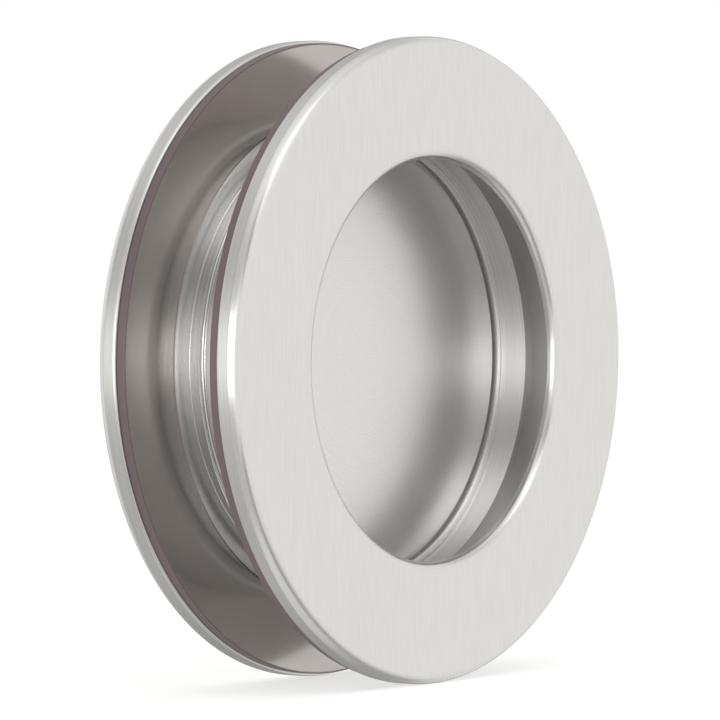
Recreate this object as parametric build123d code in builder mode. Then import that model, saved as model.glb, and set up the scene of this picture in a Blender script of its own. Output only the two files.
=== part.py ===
"""Recessed pull handle for a sliding glass door: two turned aluminium halves that screw
together through a round hole in the glass, a soft gasket on each, and one flat disc that is
the floor of both recesses.

Millimetres. The origin is on the handle's axis, at the middle of the glass. The axis is Y,
the front face looks along -Y, X is to the right seen from the front, and Z is up.
"""
import os
from math import cos, radians, tan

from build123d import *

# The glass pane that the handle is made for
hole_radius = 25.0
glass_thickness = 10.0
glass_slack = 0.3  # the halves stand open by this on each side of the glass

# Rosettes, the two flat rings that lie against the glass
rosette_cover = 7.5  # how far they reach past the edge of the hole
rosette_thickness = 2.5
face_round = 1.1  # round at the rim and at the opening of each outer face
back_round = 0.25  # round at the rim, on the side of the glass

# Gaskets
gasket_thickness = 1.0
gasket_inset = 0.3  # how far the gasket stays inside the rosette's rim
gasket_fit = 0.2  # slack of the gasket round the skirt or the boss

# Skirt of the front half, which goes through the hole
skirt_clearance = 0.6  # between the skirt and the hole
skirt_wall = 1.9
skirt_chamfer = 0.3

# Recesses
lip_overhang = 2.3  # how far the front lip stands out over the wall behind it
undercut_angle = 29.0  # how far the wall next to the lip leans away from the axis
floor_depth = 9.1  # below the front face

# Screw fit of the two halves, a fine thread
thread_depth = 0.5
slide_clearance = 0.1  # between the plain nose of the tube and the bore
nose_length = 0.8  # plain end of the tube, before its thread starts
nose_round = 0.3
thread_overlap = 1.25  # how far the skirt reaches over the tube's thread
closing_travel = 0.7  # how much further the halves can be screwed together

# Tube and boss of the rear half
tube_wall = 1.2
tube_end_wall = 0.5  # round the floor disc
boss_clearance = 0.5  # between the boss and the hole
boss_sunk = 0.2  # how far the boss stays below the rear gasket
relief_width = 1.2  # groove where the thread runs out, next to the boss
relief_depth = 0.2  # below the root of the thread

# Floor disc
floor_sunk = 0.5  # below the end of the tube
floor_thickness = 1.2
floor_gap = 0.3  # open joint all round the disc
floor_chamfer = 0.15

# Places along the axis that follow
gasket_face_y = glass_thickness / 2 + glass_slack
rosette_back_y = gasket_face_y + gasket_thickness
outer_face_y = rosette_back_y + rosette_thickness
boss_face_y = gasket_face_y + boss_sunk
relief_end_y = boss_face_y - relief_width
floor_front_y = floor_depth - outer_face_y
floor_back_y = floor_front_y + floor_thickness
tube_end_y = floor_front_y - floor_sunk
male_thread_y = tube_end_y + nose_length
female_thread_y = male_thread_y - closing_travel
skirt_end_y = male_thread_y + thread_overlap

# Radii that follow
rosette_radius = hole_radius + rosette_cover
gasket_radius = rosette_radius - gasket_inset
skirt_radius = hole_radius - skirt_clearance
boss_radius = hole_radius - boss_clearance
front_bore_radius = skirt_radius - skirt_wall
opening_radius = front_bore_radius - lip_overhang
thread_root_radius = front_bore_radius + thread_depth
tube_radius = front_bore_radius - slide_clearance
relief_radius = tube_radius - relief_depth
rear_bore_radius = tube_radius - tube_wall
pocket_radius = tube_radius - tube_end_wall
floor_radius = pocket_radius - floor_gap

# The lip's round is tangent to the outer face and to the leaning wall behind it. The two
# meet, drawn out sharp, at lip_corner_radius, and the round's narrowest place is the opening.
lean = tan(radians(undercut_angle))
lip_reach = face_round * (lean + 1 / cos(radians(undercut_angle)) - 1)
lip_corner_radius = opening_radius - lip_reach
front_undercut = (front_bore_radius - lip_corner_radius) / lean
rear_undercut = (rear_bore_radius - lip_corner_radius) / lean

os.makedirs("parts", exist_ok=True)

# Front half: rosette, recess wall and skirt, turned in one piece
with BuildPart() as front_half:
    with BuildSketch(Plane.XY):
        with BuildLine():
            FilletPolyline(
                (lip_corner_radius, -outer_face_y),
                (rosette_radius, -outer_face_y),
                (rosette_radius, -rosette_back_y),
                (skirt_radius, -rosette_back_y),
                (skirt_radius, skirt_end_y),
                (thread_root_radius, skirt_end_y),
                (thread_root_radius, female_thread_y),
                (front_bore_radius, female_thread_y),
                (front_bore_radius, front_undercut - outer_face_y),
                radius=[face_round, face_round, back_round, 0, 0, 0, 0, 0, 0],
                close=True,
            )
        make_face()
    revolve(axis=Axis.Y)
    skirt_end_edges = front_half.edges().filter_by(GeomType.CIRCLE).group_by(Axis.Y)[-1]
    chamfer(skirt_end_edges, length=skirt_chamfer)

# Rear half: rosette, boss, and the tube that screws into the skirt. The tube is drawn at the
# root of its fine thread.
with BuildPart() as rear_half:
    with BuildSketch(Plane.XY):
        with BuildLine():
            FilletPolyline(
                (lip_corner_radius, outer_face_y),
                (rosette_radius, outer_face_y),
                (rosette_radius, rosette_back_y),
                (boss_radius, rosette_back_y),
                (boss_radius, boss_face_y),
                (relief_radius, boss_face_y),
                (relief_radius, relief_end_y),
                (tube_radius, relief_end_y),
                (tube_radius, tube_end_y),
                (pocket_radius, tube_end_y),
                (pocket_radius, floor_back_y),
                (rear_bore_radius, floor_back_y),
                (rear_bore_radius, outer_face_y - rear_undercut),
                radius=[face_round, face_round, back_round, 0, 0, 0, 0, 0, nose_round, 0, 0, 0, 0],
                close=True,
            )
        make_face()
    revolve(axis=Axis.Y)

# Floor disc, seated on the shoulder inside the tube's end
with BuildPart() as floor_disc:
    with BuildSketch(Plane.XZ.offset(-floor_back_y)):
        Circle(floor_radius)
    extrude(amount=floor_thickness)
    chamfer(floor_disc.faces().sort_by(Axis.Y)[0].edges(), length=floor_chamfer)

# Gaskets, flat rings between each rosette and the glass
with BuildPart() as front_gasket:
    with BuildSketch(Plane.XZ.offset(gasket_face_y)):
        Circle(gasket_radius)
        Circle(skirt_radius + gasket_fit, mode=Mode.SUBTRACT)
    extrude(amount=gasket_thickness)

with BuildPart() as rear_gasket:
    with BuildSketch(Plane.XZ.offset(-rosette_back_y)):
        Circle(gasket_radius)
        Circle(boss_radius + gasket_fit, mode=Mode.SUBTRACT)
    extrude(amount=gasket_thickness)

front_half.part.label = "front_half"
export_step(front_half.part, "parts/front_half.step")

rear_half.part.label = "rear_half"
export_step(rear_half.part, "parts/rear_half.step")

floor_disc.part.label = "floor_disc"
export_step(floor_disc.part, "parts/floor_disc.step")

front_gasket.part.label = "front_gasket"
export_step(front_gasket.part, "parts/front_gasket.step")

rear_gasket.part.label = "rear_gasket"
export_step(rear_gasket.part, "parts/rear_gasket.step")
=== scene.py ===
"""Looks of the recessed pull handle: its turned shells, recess floor, gaskets and fine
thread as numpy surfaces, satin aluminium and gasket materials, and a white studio.

Sizes are in millimetres, and millimetres become metres where a mesh is made. The origin and
axes are the frame's: Y along the handle's axis, front face towards -Y, Z up.
"""
from math import cos, pi, radians, sin, tan

import bpy
import numpy as np
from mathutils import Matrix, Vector


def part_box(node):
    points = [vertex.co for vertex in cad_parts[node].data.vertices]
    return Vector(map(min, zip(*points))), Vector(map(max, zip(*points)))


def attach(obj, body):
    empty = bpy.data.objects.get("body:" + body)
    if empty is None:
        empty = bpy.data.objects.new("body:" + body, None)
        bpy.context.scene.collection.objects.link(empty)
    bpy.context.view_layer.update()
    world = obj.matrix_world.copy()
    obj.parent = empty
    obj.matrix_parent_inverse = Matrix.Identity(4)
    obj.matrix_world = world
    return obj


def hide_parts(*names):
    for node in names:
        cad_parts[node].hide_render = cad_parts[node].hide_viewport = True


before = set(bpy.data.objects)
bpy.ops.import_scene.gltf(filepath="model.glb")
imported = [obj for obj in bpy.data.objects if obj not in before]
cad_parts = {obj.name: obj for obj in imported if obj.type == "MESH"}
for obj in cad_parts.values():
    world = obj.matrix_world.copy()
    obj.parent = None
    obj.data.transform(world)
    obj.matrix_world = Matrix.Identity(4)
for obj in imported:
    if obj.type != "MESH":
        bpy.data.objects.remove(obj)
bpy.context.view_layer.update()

MM = 0.001
WELD = 1e-7

# Sizes from the frame
FRONT_LOW, FRONT_HIGH = (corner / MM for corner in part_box("front_half"))
REAR_LOW, REAR_HIGH = (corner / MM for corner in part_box("rear_half"))
DISC_LOW, DISC_HIGH = (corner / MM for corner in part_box("floor_disc"))
REAR_SEAL_LOW, REAR_SEAL_HIGH = (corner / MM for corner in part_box("rear_gasket"))

ROSETTE_RADIUS = FRONT_HIGH.x
OUTER_FACE_Y = REAR_HIGH.y
ROSETTE_BACK_Y = REAR_SEAL_HIGH.y
GASKET_FACE_Y = REAR_SEAL_LOW.y
GASKET_RADIUS = REAR_SEAL_HIGH.x
SKIRT_END_Y = FRONT_HIGH.y
TUBE_END_Y = REAR_LOW.y
DISC_RADIUS = DISC_HIGH.x

# Sizes of the turned section that the frame's boxes don't give
SKIRT_RADIUS = 24.4
BOSS_RADIUS = 24.5
BOSS_SUNK = 0.2
OPENING_RADIUS = 20.2
BORE_RADIUS = 22.5
THREAD_ROOT_RADIUS = 23.0
TUBE_RADIUS = 22.4
RELIEF_RADIUS = 22.2
RELIEF_WIDTH = 1.2
POCKET_RADIUS = 21.9
REAR_BORE_RADIUS = 21.2
JOINT_DEPTH = 0.4
SEAT_FIT = 0.005
NOSE_LENGTH = 0.8
NOSE_RADIUS = 22.49
COLLAR_WALL = 0.03
COLLAR_HEIGHT = 0.2
COLLAR_ROUND = 0.15
COLLAR_FOOT_ROUND = 0.01
BORE_END_Y = 0.35
UNDERCUT_ANGLE = radians(29.0)
GASKET_FIT = 0.2
SKIRT_CHAMFER = 0.3
DISC_CHAMFER = 0.15
FACE_ROUND = 1.1
LIP_SLANT = 0.32
BACK_ROUND = 0.25
EDGE_BREAK = 0.06

# Places along the axis that follow
BOSS_Y = GASKET_FACE_Y + BOSS_SUNK
RELIEF_Y = BOSS_Y - RELIEF_WIDTH

# Fine thread
THREAD_PITCH = 0.75
THREAD_SUNK = 0.04
THREAD_INTO_RELIEF = 0.14
HALF_BASE = 0.46 * THREAD_PITCH
HALF_CREST = 0.16 * THREAD_PITCH
THREAD_RADIUS = 22.9
FEMALE_CREST_RADIUS = 22.5
RUN_OUT_ANGLE = radians(183.0)

TURN_STEPS = 360
ARC_STEP = radians(7.5)


# Shader maths

class Value:
    """A number that varies over a surface. Arithmetic on it adds Math nodes."""

    def __init__(self, shading, socket):
        self.shading = shading
        self.socket = socket

    def math(self, operation, *others):
        return self.shading.node("ShaderNodeMath", {"operation": operation}, [self, *others])

    def __add__(self, other):
        return self.math("ADD", other)

    def __sub__(self, other):
        return self.math("SUBTRACT", other)

    def __rsub__(self, other):
        return (self * -1.0) + other

    def __mul__(self, other):
        return self.math("MULTIPLY", other)

    def __truediv__(self, other):
        return self.math("DIVIDE", other)

    def __abs__(self):
        return self.math("ABSOLUTE")

    __radd__ = __add__
    __rmul__ = __mul__


class Shading:
    """The node tree of one material or of the world."""

    def __init__(self, owner):
        owner.use_nodes = True
        self.tree = owner.node_tree
        self.tree.nodes.clear()

    def node(self, kind, settings=(), inputs=(), output=0):
        """One node: its settings are set first, then the values or links of its sockets."""
        made = self.tree.nodes.new(kind)
        for name, value in dict(settings).items():
            setattr(made, name, value)
        pairs = inputs.items() if isinstance(inputs, dict) else enumerate(inputs)
        for key, value in pairs:
            if isinstance(value, Value):
                self.tree.links.new(value.socket, made.inputs[key])
            else:
                made.inputs[key].default_value = value
        return Value(self, made.outputs[output]) if made.outputs else None

    def ramp(self, value, low, high, bottom=0.0, top=1.0):
        """Smooth step of value from low to high, giving bottom to top."""
        return self.node(
            "ShaderNodeMapRange",
            {"interpolation_type": "SMOOTHSTEP"},
            {"Value": value, "From Min": low, "From Max": high, "To Min": bottom, "To Max": top},
        )

    def band(self, value, low, high, soft):
        """1 between low and high, fading to 0 over soft outside them."""
        return self.ramp(value, low - soft, low) * self.ramp(value, high, high + soft, 1.0, 0.0)

    def noise(self, x, y, z, detail=2.0, roughness=0.5):
        place = self.node("ShaderNodeCombineXYZ", inputs=[x, y, z])
        inputs = {"Vector": place, "Scale": 1.0, "Detail": detail, "Roughness": roughness}
        return self.node("ShaderNodeTexNoise", {"noise_dimensions": "3D"}, inputs)

    def colours(self, factor, first, second):
        """Mix of two colours: the first at factor 0, the second at 1."""
        settings = {"data_type": "RGBA", "clamp_factor": True}
        return self.node("ShaderNodeMix", settings, {0: factor, 6: first, 7: second}, output=2)


class Finish(Shading):
    """A material whose patterns are laid out in millimetres on the handle's own axes."""

    def __init__(self, name):
        self.material = bpy.data.materials.new(name)
        super().__init__(self.material)
        place = self.node("ShaderNodeTexCoord", output=3)
        self.x, self.y, self.z = (
            self.node("ShaderNodeSeparateXYZ", inputs=[place], output=axis) / MM
            for axis in range(3)
        )
        self.radius = (self.x * self.x + self.z * self.z).math("SQRT")
        self.angle = self.z.math("ARCTAN2", self.x)

    def bump(self, height, depth):
        """Bump of a height from 0 to 1, depth millimetres deep."""
        inputs = {"Strength": 1.0, "Distance": depth * MM, "Height": height}
        return self.node("ShaderNodeBump", inputs=inputs)

    def close(self, **sockets):
        """Principled surface with these sockets, each named in lower case with underscores."""
        inputs = {name.replace("_", " ").title(): value for name, value in sockets.items()}
        surface = self.node("ShaderNodeBsdfPrincipled", inputs=inputs)
        self.node("ShaderNodeOutputMaterial", inputs=[surface])
        return self.material


def grey(level, warmth=0.0):
    """A near grey, its red raised and its blue lowered by warmth."""
    return (level * (1 + warmth), level, level * (1 - warmth), 1.0)


def placed(name, data):
    """A new object of this mesh, lamp or camera, in the scene."""
    made = bpy.data.objects.new(name, data)
    bpy.context.scene.collection.objects.link(made)
    return made


# Aluminium and gasket finishes

def hairline_aluminium():
    """Satin anodised face, brushed upright: streaks narrow across and long up and down. The
    rounds at its edges are smoother away from the face."""
    finish = Finish("hairline_aluminium")
    hairs = finish.noise(finish.x * 5.0, finish.y, finish.z * 0.25, detail=2.0, roughness=0.6)
    clouds = finish.noise(finish.x * 0.25, finish.y * 0.2, finish.z * 0.1)
    level = finish.ramp(hairs, 0.3, 0.7)
    on_face = finish.ramp(abs(finish.y), OUTER_FACE_Y - 0.35, OUTER_FACE_Y - 0.03)
    return finish.close(
        base_color=finish.colours(level * on_face, grey(0.735, 0.006), grey(0.775, 0.005)),
        metallic=0.85,
        roughness=0.20 + on_face * (0.16 + level * 0.04) + clouds * 0.04,
        normal=finish.bump(hairs * on_face, 0.0015),
    )


def turned_aluminium(name, level, roughness, depth):
    """Turned wall: fine tool rings round the axis, spaced along the section."""
    finish = Finish(name)
    along = finish.radius * 1.3 + finish.y
    rings = finish.noise(along * 5.0, finish.angle * 0.25, 0.0, detail=2.0, roughness=0.65)
    clouds = finish.noise(finish.x * 0.2, finish.y * 0.9, finish.z * 0.2)
    tone = finish.ramp(rings, 0.3, 0.7)
    return finish.close(
        base_color=finish.colours(tone, grey(level - 0.05, 0.008), grey(level + 0.05, 0.006)),
        metallic=1.0,
        roughness=roughness + tone * 0.05 + clouds * 0.04,
        normal=finish.bump(rings, depth),
    )


def floor_aluminium():
    """Recess floor: fine rings round the centre with a slight mottle."""
    finish = Finish("floor_aluminium")
    rings = finish.noise(finish.radius * 8.0, finish.angle * 0.6, 0.0, detail=4.0, roughness=0.7)
    grain = finish.noise(finish.x * 8.0, 0.0, finish.z * 8.0, detail=2.0, roughness=0.7)
    clouds = finish.noise(finish.x * 0.35, 0.0, finish.z * 0.35)
    tone = finish.ramp(grain * 0.8 + rings * 0.2, 0.3, 0.7)
    return finish.close(
        base_color=finish.colours(tone, grey(0.69, 0.006), grey(0.87, 0.005)),
        metallic=0.88,
        roughness=0.27 + grain * 0.06 + clouds * 0.04,
        normal=finish.bump(grain, 0.003),
    )


def gasket_sheet():
    """Soft brown sheet, glossy on its flat faces and duller on its cut edge."""
    finish = Finish("gasket_sheet")
    cut = finish.ramp(finish.radius, GASKET_RADIUS - 0.25, GASKET_RADIUS - 0.05)
    clouds = finish.noise(finish.x * 0.3, finish.y * 2.0, finish.z * 0.3)
    face = finish.colours(clouds, (0.53, 0.50, 0.48, 1.0), (0.585, 0.55, 0.53, 1.0))
    return finish.close(
        base_color=finish.colours(cut, face, (0.155, 0.113, 0.120, 1.0)),
        metallic=0.80 - cut * 0.60,
        roughness=0.13 + clouds * 0.05 + cut * 0.20,
    )


# Turned pieces

def rounded_section(corners, closed):
    """Points and outward normals of a lathe section, as (radius, y), with each stretch's finish.

    A corner is (radius, y, round, finish of the stretch after it). The round is an arc that is
    tangent to both stretches: with h half the angle between them, it starts round / tan(h)
    before the corner, and its centre lies round / sin(h) from the corner on their bisector.
    """
    points, normals, finishes = [], [], []
    count = len(corners)
    places = np.array([corner[:2] for corner in corners], float)
    for index in range(count):
        here, size, finish = places[index], corners[index][2], corners[index][3]
        at_end = not closed and index in (0, count - 1)
        ahead = places[(index + 1) % count] - here if index < count - 1 or closed else None
        behind = here - places[index - 1] if index > 0 or closed else None
        if at_end:
            run = ahead if behind is None else behind
            run = run / np.linalg.norm(run)
            points.append(here)
            normals.append((run[1], -run[0]))
            finishes.append(finish)
            continue
        ahead = ahead / np.linalg.norm(ahead)
        behind = behind / np.linalg.norm(behind)
        turn = np.arctan2(behind[0] * ahead[1] - behind[1] * ahead[0], behind @ ahead)
        inset = size * tan(abs(turn) / 2)
        side = np.sign(turn)
        centre = here - behind * inset + side * size * np.array((-behind[1], behind[0]))
        start = -side * np.array((-behind[1], behind[0]))
        steps = max(2, int(np.ceil(abs(turn) / ARC_STEP)))
        round_finish = "hairline" if size == FACE_ROUND else finish
        for step in range(steps + 1):
            lean = turn * step / steps
            spoke = np.array((
                start[0] * cos(lean) - start[1] * sin(lean),
                start[0] * sin(lean) + start[1] * cos(lean),
            ))
            points.append(centre + size * spoke)
            normals.append(side * spoke)
            finishes.append(round_finish if step < steps else finish)
    return np.array(points), np.array(normals), finishes


def turned(name, node, finishes, corners, closed=True):
    """A piece turned from its section: a point (radius, y) of the section at the angle a
    becomes (radius cos a, y, radius sin a), for a full turn of even steps. The section runs
    with its outside on the right of its path, and a point on the axis is one vertex."""
    section, outward, names = rounded_section(corners, closed)
    angle = np.arange(TURN_STEPS) * 2 * pi / TURN_STEPS
    around = np.stack([np.cos(angle), np.sin(angle)])
    rings = len(section)

    def spin(pairs):
        flat = np.empty((rings, TURN_STEPS, 3))
        flat[..., 0] = pairs[:, :1] * around[0]
        flat[..., 1] = pairs[:, 1:]
        flat[..., 2] = pairs[:, :1] * around[1]
        return flat.reshape(-1, 3)

    last = rings if closed else rings - 1
    row = np.arange(last)[:, None] * TURN_STEPS
    next_row = (np.arange(1, last + 1) % rings)[:, None] * TURN_STEPS
    column = np.arange(TURN_STEPS)[None, :]
    next_column = (column + 1) % TURN_STEPS
    quads = np.stack(
        [row + column, next_row + column, next_row + next_column, row + next_column], axis=-1
    ).reshape(-1, 4)
    used = sorted(set(names), key=names.index)
    which = np.repeat([used.index(item) for item in names[:last]], TURN_STEPS)
    piece = surface(name, spin(section) * MM, quads, spin(outward), which)
    for item in used:
        piece.data.materials.append(finishes[item])
    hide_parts(node)
    return piece


def surface(name, points, quads, normals, material_index):
    """A mesh of these points and quads with one outward normal a point. Points that fall
    together, as on the axis, are merged, and a quad with two of them becomes a triangle."""
    places = np.round(points / WELD)
    _, first, merged = np.unique(places, axis=0, return_index=True, return_inverse=True)
    corners = merged.reshape(-1)[quads]
    kept = corners != np.roll(corners, 1, axis=1)
    corner_counts = kept.sum(axis=1)
    mesh = bpy.data.meshes.new(name)
    mesh.vertices.add(len(first))
    mesh.vertices.foreach_set("co", points[first].ravel())
    mesh.loops.add(int(corner_counts.sum()))
    mesh.loops.foreach_set("vertex_index", corners[kept])
    mesh.polygons.add(len(quads))
    mesh.polygons.foreach_set("loop_start", np.cumsum(corner_counts) - corner_counts)
    mesh.polygons.foreach_set("material_index", material_index)
    mesh.polygons.foreach_set("use_smooth", np.ones(len(quads), bool))
    mesh.update(calc_edges=True)
    mesh.normals_split_custom_set_from_vertices(normals[first])
    piece = placed(name, mesh)
    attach(piece, "root")
    return piece


def lip_corner():
    """Radius at which the outer face and the undercut's leaning wall meet, drawn out sharp."""
    reach = tan(UNDERCUT_ANGLE) + 1 / cos(UNDERCUT_ANGLE) - 1
    return OPENING_RADIUS - FACE_ROUND * reach


def undercut_depth(bore_radius):
    """Depth below the outer face at which the leaning wall reaches the bore."""
    return (bore_radius - lip_corner()) / tan(UNDERCUT_ANGLE)


def front_shell(finishes):
    """Front half: rosette, undercut recess wall, and the skirt with the thread's root in it."""
    return turned("front_shell", "front_half", finishes, [
        (OPENING_RADIUS + LIP_SLANT, -OUTER_FACE_Y, FACE_ROUND, "hairline"),
        (ROSETTE_RADIUS, -OUTER_FACE_Y, FACE_ROUND, "turned"),
        (ROSETTE_RADIUS, -ROSETTE_BACK_Y, BACK_ROUND, "turned"),
        (SKIRT_RADIUS, -ROSETTE_BACK_Y, EDGE_BREAK, "turned"),
        (SKIRT_RADIUS, SKIRT_END_Y - SKIRT_CHAMFER, EDGE_BREAK, "turned"),
        (SKIRT_RADIUS - SKIRT_CHAMFER, SKIRT_END_Y, EDGE_BREAK, "turned"),
        (THREAD_ROOT_RADIUS + SKIRT_CHAMFER, SKIRT_END_Y, EDGE_BREAK, "turned"),
        (THREAD_ROOT_RADIUS, SKIRT_END_Y - SKIRT_CHAMFER, EDGE_BREAK, "turned"),
        (THREAD_ROOT_RADIUS, BORE_END_Y, EDGE_BREAK, "turned"),
        (BORE_RADIUS, BORE_END_Y, EDGE_BREAK, "turned"),
        (BORE_RADIUS, undercut_depth(BORE_RADIUS) - OUTER_FACE_Y, EDGE_BREAK, "undercut"),
        (OPENING_RADIUS, FACE_ROUND - OUTER_FACE_Y, EDGE_BREAK, "hairline"),
    ])


def rear_shell(finishes):
    """Rear half: rosette, recess wall, boss, and the tube with its nose and collar."""
    return turned("rear_shell", "rear_half", finishes, [
        (OPENING_RADIUS + LIP_SLANT, OUTER_FACE_Y, FACE_ROUND, "hairline"),
        (OPENING_RADIUS, OUTER_FACE_Y - FACE_ROUND, EDGE_BREAK, "undercut"),
        (REAR_BORE_RADIUS, OUTER_FACE_Y - undercut_depth(REAR_BORE_RADIUS), EDGE_BREAK, "turned"),
        (REAR_BORE_RADIUS, DISC_HIGH.y, EDGE_BREAK, "turned"),
        (DISC_RADIUS + SEAT_FIT, DISC_HIGH.y, EDGE_BREAK, "turned"),
        (DISC_RADIUS + SEAT_FIT, DISC_LOW.y + JOINT_DEPTH, EDGE_BREAK, "turned"),
        (POCKET_RADIUS, DISC_LOW.y + JOINT_DEPTH, EDGE_BREAK, "turned"),
        (POCKET_RADIUS, TUBE_END_Y, EDGE_BREAK, "polished"),
        (NOSE_RADIUS - COLLAR_WALL, TUBE_END_Y, COLLAR_ROUND, "turned"),
        (NOSE_RADIUS - COLLAR_WALL, TUBE_END_Y - COLLAR_HEIGHT, COLLAR_FOOT_ROUND, "turned"),
        (NOSE_RADIUS, TUBE_END_Y - COLLAR_HEIGHT, COLLAR_FOOT_ROUND, "turned"),
        (NOSE_RADIUS, BORE_END_Y, EDGE_BREAK, "turned"),
        (TUBE_RADIUS, NOSE_LENGTH + TUBE_END_Y, EDGE_BREAK, "turned"),
        (TUBE_RADIUS, RELIEF_Y, EDGE_BREAK, "relief"),
        (RELIEF_RADIUS, RELIEF_Y, EDGE_BREAK, "relief"),
        (RELIEF_RADIUS, BOSS_Y, EDGE_BREAK, "boss"),
        (BOSS_RADIUS, BOSS_Y, EDGE_BREAK, "turned"),
        (BOSS_RADIUS, ROSETTE_BACK_Y, EDGE_BREAK, "turned"),
        (ROSETTE_RADIUS, ROSETTE_BACK_Y, BACK_ROUND, "turned"),
        (ROSETTE_RADIUS, OUTER_FACE_Y, FACE_ROUND, "hairline"),
    ])


def recess_floor(finishes):
    """Floor disc, chamfered round its front face, with its centre on the axis."""
    return turned("recess_floor", "floor_disc", finishes, [
        (0.0, DISC_LOW.y, 0.0, "floor"),
        (DISC_RADIUS - DISC_CHAMFER, DISC_LOW.y, EDGE_BREAK, "floor"),
        (DISC_RADIUS, DISC_LOW.y + DISC_CHAMFER, EDGE_BREAK, "floor"),
        (DISC_RADIUS, DISC_HIGH.y, EDGE_BREAK, "floor"),
        (0.0, DISC_HIGH.y, 0.0, "floor"),
    ], closed=False)


def gasket(name, node, finishes, inner_radius, low, high):
    """A flat ring of sheet, its corners broken by the cutting."""
    return turned(name, node, finishes, [
        (inner_radius, low, EDGE_BREAK, "gasket"),
        (GASKET_RADIUS, low, EDGE_BREAK, "gasket"),
        (GASKET_RADIUS, high, EDGE_BREAK, "gasket"),
        (inner_radius, high, EDGE_BREAK, "gasket"),
    ])


# Fine thread

def thread_ridge(name, material, root_radius, crest_radius, far_y, near_y):
    """A right-hand thread's ridge, carried along a helix from far_y towards the front. Its
    section is a trapezium with a rounded crest, sunk a little into the wall, and after t turns
    the section's middle is at the angle a = run-out angle + 2 pi t and at y = far_y - base / 2
    - pitch t. It rises out of the wall in a tenth of a turn, where the crest is still ragged by
    a sine that dies away as exp(-t / 0.04), and fades in the last third of a turn."""
    height = crest_radius - root_radius
    outward = np.sign(height)
    crest = HALF_CREST / HALF_BASE
    across = np.array([-1.0, -0.7, -crest, 0.0, crest, 0.7, 1.0, 0.0]) * HALF_BASE
    up = np.array([0.0, 0.42, 0.94, 1.0, 0.94, 0.42, 0.0, 0.0]) * (height + outward * THREAD_SUNK)
    turns = (far_y - near_y - 2 * HALF_BASE) / THREAD_PITCH
    count = int(turns * TURN_STEPS)
    travel = np.linspace(0.0, turns, count)
    growth = np.clip(np.minimum(travel * 10, (turns - travel) * 3), 0.001, 1.0)
    ragged = 1 - 0.12 * np.exp(-travel / 0.04) * (1 + np.sin(travel * 2 * pi * 70))
    angle = 2 * pi * travel + RUN_OUT_ANGLE
    rise = (growth * ragged)[:, None]
    radius = root_radius - outward * THREAD_SUNK + up * rise
    y = far_y - HALF_BASE - THREAD_PITCH * travel[:, None] + across * growth[:, None]
    points = np.stack(
        [radius * np.cos(angle)[:, None], y, radius * np.sin(angle)[:, None]], axis=-1
    )
    wide = len(across)
    row = np.arange(count - 1)[:, None] * wide
    here = np.arange(wide)[None, :]
    there = (here + 1) % wide
    quads = np.stack([row + here, row + wide + here, row + wide + there, row + there], axis=-1)
    quads = quads.reshape(-1, 4)
    ends = [list(range(wide)), list(range((count - 1) * wide, count * wide))[::-1]]
    if outward < 0:
        quads = quads[:, ::-1]
        ends = [end[::-1] for end in ends]
    mesh = bpy.data.meshes.new(name)
    mesh.from_pydata((points.reshape(-1, 3) * MM).tolist(), [], quads.tolist() + ends)
    mesh.polygons.foreach_set("use_smooth", np.ones(len(mesh.polygons), bool))
    mesh.update()
    piece = placed(name, mesh)
    piece.data.materials.append(material)
    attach(piece, "root")
    return piece


# Studio

def studio_world():
    """White room in front of the handle, greyer at its sides, brighter overhead and straight
    behind, with a dark patch on either side of the camera and one bright strip at the handle's
    height on its left. The camera itself sees plain white."""
    world = bpy.data.worlds.new("studio")
    bpy.context.scene.world = world
    shading = Shading(world)
    way = shading.node("ShaderNodeTexCoord", output=0)
    x, y, z = (
        shading.node("ShaderNodeSeparateXYZ", inputs=[way], output=axis) for axis in range(3)
    )
    right = shading.ramp(x, 0.55, 0.80) * shading.ramp(y, 0.45, 0.15)
    front = shading.ramp(y, -0.30, -0.62).math("MAXIMUM", right) * shading.ramp(z, 0.78, 0.55)
    front = front * shading.ramp(z, -0.75, -0.55)
    overhead = shading.ramp(z, 0.55, 0.95) * (0.80 - x * 0.70 - y * 0.30)
    beneath = shading.ramp(z, -0.70, -0.90) * shading.ramp(x, 0.45, 0.10)
    right_below = shading.ramp(z, 0.05, -0.25) * shading.ramp(x, -0.60, 0.20)
    behind = shading.ramp(y, 0.68, 0.90)
    side = 0.56 + overhead * 0.50 + beneath * 0.30 - right_below * 0.17 + behind * 0.36
    shade = shading.band(x, -0.68, -0.36, 0.06) * shading.band(abs(z), 0.40, 0.71, 0.08)
    table_edge = shading.ramp(z, -0.56, -0.68) * shading.ramp(x, 0.60, 0.45)
    shade = shade.math("MAXIMUM", table_edge) * shading.ramp(y, -0.40, -0.55)
    strip = shading.ramp(y, -0.69, -0.42) * shading.ramp(y, 0.70, 0.40)
    strip = strip * shading.ramp(x, -0.35, -0.55) * shading.band(z, -0.12, 0.20, 0.06)
    level = side + front * (0.95 - side)
    level = level + shade * (0.35 - level)
    level = level + strip * (3.0 - level)
    seen = shading.node("ShaderNodeLightPath", output=0)
    tint = {0: (1.0, 0.995, 0.975), "Scale": level}
    colour = shading.node("ShaderNodeVectorMath", {"operation": "SCALE"}, tint)
    colour = shading.colours(seen, colour, (1.0, 1.0, 1.0, 1.0))
    light = shading.node("ShaderNodeBackground", inputs=[colour, 1.0])
    shading.node("ShaderNodeOutputWorld", inputs=[light])


def softbox(name, toward, distance, size, power):
    """A square area light in this direction from the handle, aimed at it."""
    lamp = bpy.data.lights.new(name, "AREA")
    lamp.shape = "SQUARE"
    lamp.size = size
    lamp.energy = power
    light = placed(name, lamp)
    back = Vector(toward).normalized()
    light.location = back * distance
    light.rotation_mode = "QUATERNION"
    light.rotation_quaternion = back.to_track_quat("Z", "Y")
    light.visible_camera = False


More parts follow.
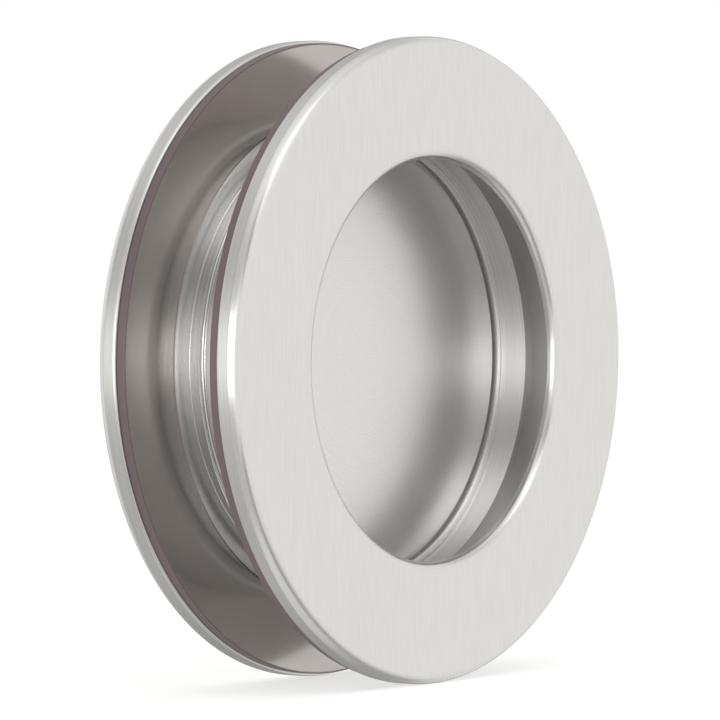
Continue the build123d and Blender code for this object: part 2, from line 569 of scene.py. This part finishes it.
def studio_floor():
    """A wide pale floor under both rims, shown white but for the handle's soft shadow."""
    half = 1.5
    mesh = bpy.data.meshes.new("studio_floor")
    z = FRONT_LOW.z * MM
    corners = [(-half, -half, z), (half, -half, z), (half, half, z), (-half, half, z)]
    mesh.from_pydata(corners, [], [(0, 1, 2, 3)])
    floor = placed("studio_floor", mesh)
    material = bpy.data.materials.new("studio_floor")
    shading = Shading(material)
    camera, glass = (shading.node("ShaderNodeLightPath", output=ray) for ray in (0, 5))
    paper = shading.node("ShaderNodeBsdfDiffuse", {}, {"Color": (0.55, 0.55, 0.55, 1.0)})
    shown = shading.colours(camera.math("MAXIMUM", glass), (0, 0, 0, 1), (0.62, 0.62, 0.62, 1))
    glow = shading.node("ShaderNodeEmission", inputs={"Color": shown, "Strength": 1.0})
    both = shading.node("ShaderNodeAddShader", inputs=[paper, glow])
    shading.node("ShaderNodeOutputMaterial", inputs=[both])
    mesh.materials.append(material)
    floor.visible_glossy = False


def photo_camera():
    """The photograph's view: from the left of the front, a little above the axis."""
    turned_left = radians(52.4714)
    raised = radians(1.3196)
    distance = 445.78
    pixels_focal = 4381.99
    pixels_wide = 720
    aim = Vector((0.0, 1.401, -0.083)) * MM
    back = Vector((-sin(turned_left) * cos(raised), -cos(turned_left) * cos(raised), sin(raised)))
    data = bpy.data.cameras.new("photo_camera")
    data.sensor_width = 36.0
    data.lens = data.sensor_width * pixels_focal / pixels_wide
    data.clip_start = 0.01
    data.clip_end = 20.0
    camera = placed("photo_camera", data)
    camera.location = aim + back * (distance * MM)
    camera.rotation_mode = "QUATERNION"
    camera.rotation_quaternion = back.to_track_quat("Z", "Y")
    bpy.context.scene.camera = camera


def build_handle():
    finishes = {
        "hairline": hairline_aluminium(),
        "turned": turned_aluminium("turned_aluminium", 0.68, 0.26, 0.002),
        # Painted shade: the undercut's leaning wall is the same turned aluminium, darkened to
        # 0.42 to stand in for the shade inside the recess.
        "undercut": turned_aluminium("undercut_aluminium_painted_shade", 0.42, 0.20, 0.001),
        # Partly polish, partly painted highlight: the nose's end face and the tube's thread
        # crests take a brighter copy of the turned aluminium, raised to 0.88.
        "polished": turned_aluminium("polished_aluminium_painted_highlight", 0.88, 0.18, 0.0008),
        # Painted shade: the relief groove is the same turned aluminium, darkened to 0.50 to stand
        # in for the shade in the groove.
        "relief": turned_aluminium("relief_aluminium_painted_shade", 0.50, 0.24, 0.002),
        # Painted light: the boss face is the same turned aluminium, brightened to 0.92 to stand
        # in for the sheen on its turned grooves.
        "boss": turned_aluminium("boss_aluminium_painted_light", 0.92, 0.20, 0.002),
        "floor": floor_aluminium(),
        "gasket": gasket_sheet(),
    }
    front_shell(finishes)
    rear_shell(finishes)
    recess_floor(finishes)
    gasket("gasket_front", "front_gasket", finishes, SKIRT_RADIUS + GASKET_FIT,
           -ROSETTE_BACK_Y, -GASKET_FACE_Y)
    gasket("gasket_rear", "rear_gasket", finishes, BOSS_RADIUS + GASKET_FIT,
           GASKET_FACE_Y, ROSETTE_BACK_Y)
    # The tube's thread ridge takes the brighter finish, partly polish and partly painted
    # highlight on its crests.
    thread_ridge("tube_thread", finishes["polished"], TUBE_RADIUS, THREAD_RADIUS,
                 RELIEF_Y + THREAD_INTO_RELIEF, TUBE_END_Y + NOSE_LENGTH)
    thread_ridge("skirt_thread", finishes["turned"], THREAD_ROOT_RADIUS,
                 FEMALE_CREST_RADIUS, SKIRT_END_Y - SKIRT_CHAMFER, BORE_END_Y)


build_handle()
studio_floor()
studio_world()
softbox("key_softbox", (-0.15, -0.62, 0.77), 0.8, 0.5, 0.55)
photo_camera()
bpy.context.scene.view_settings.view_transform = "Standard"
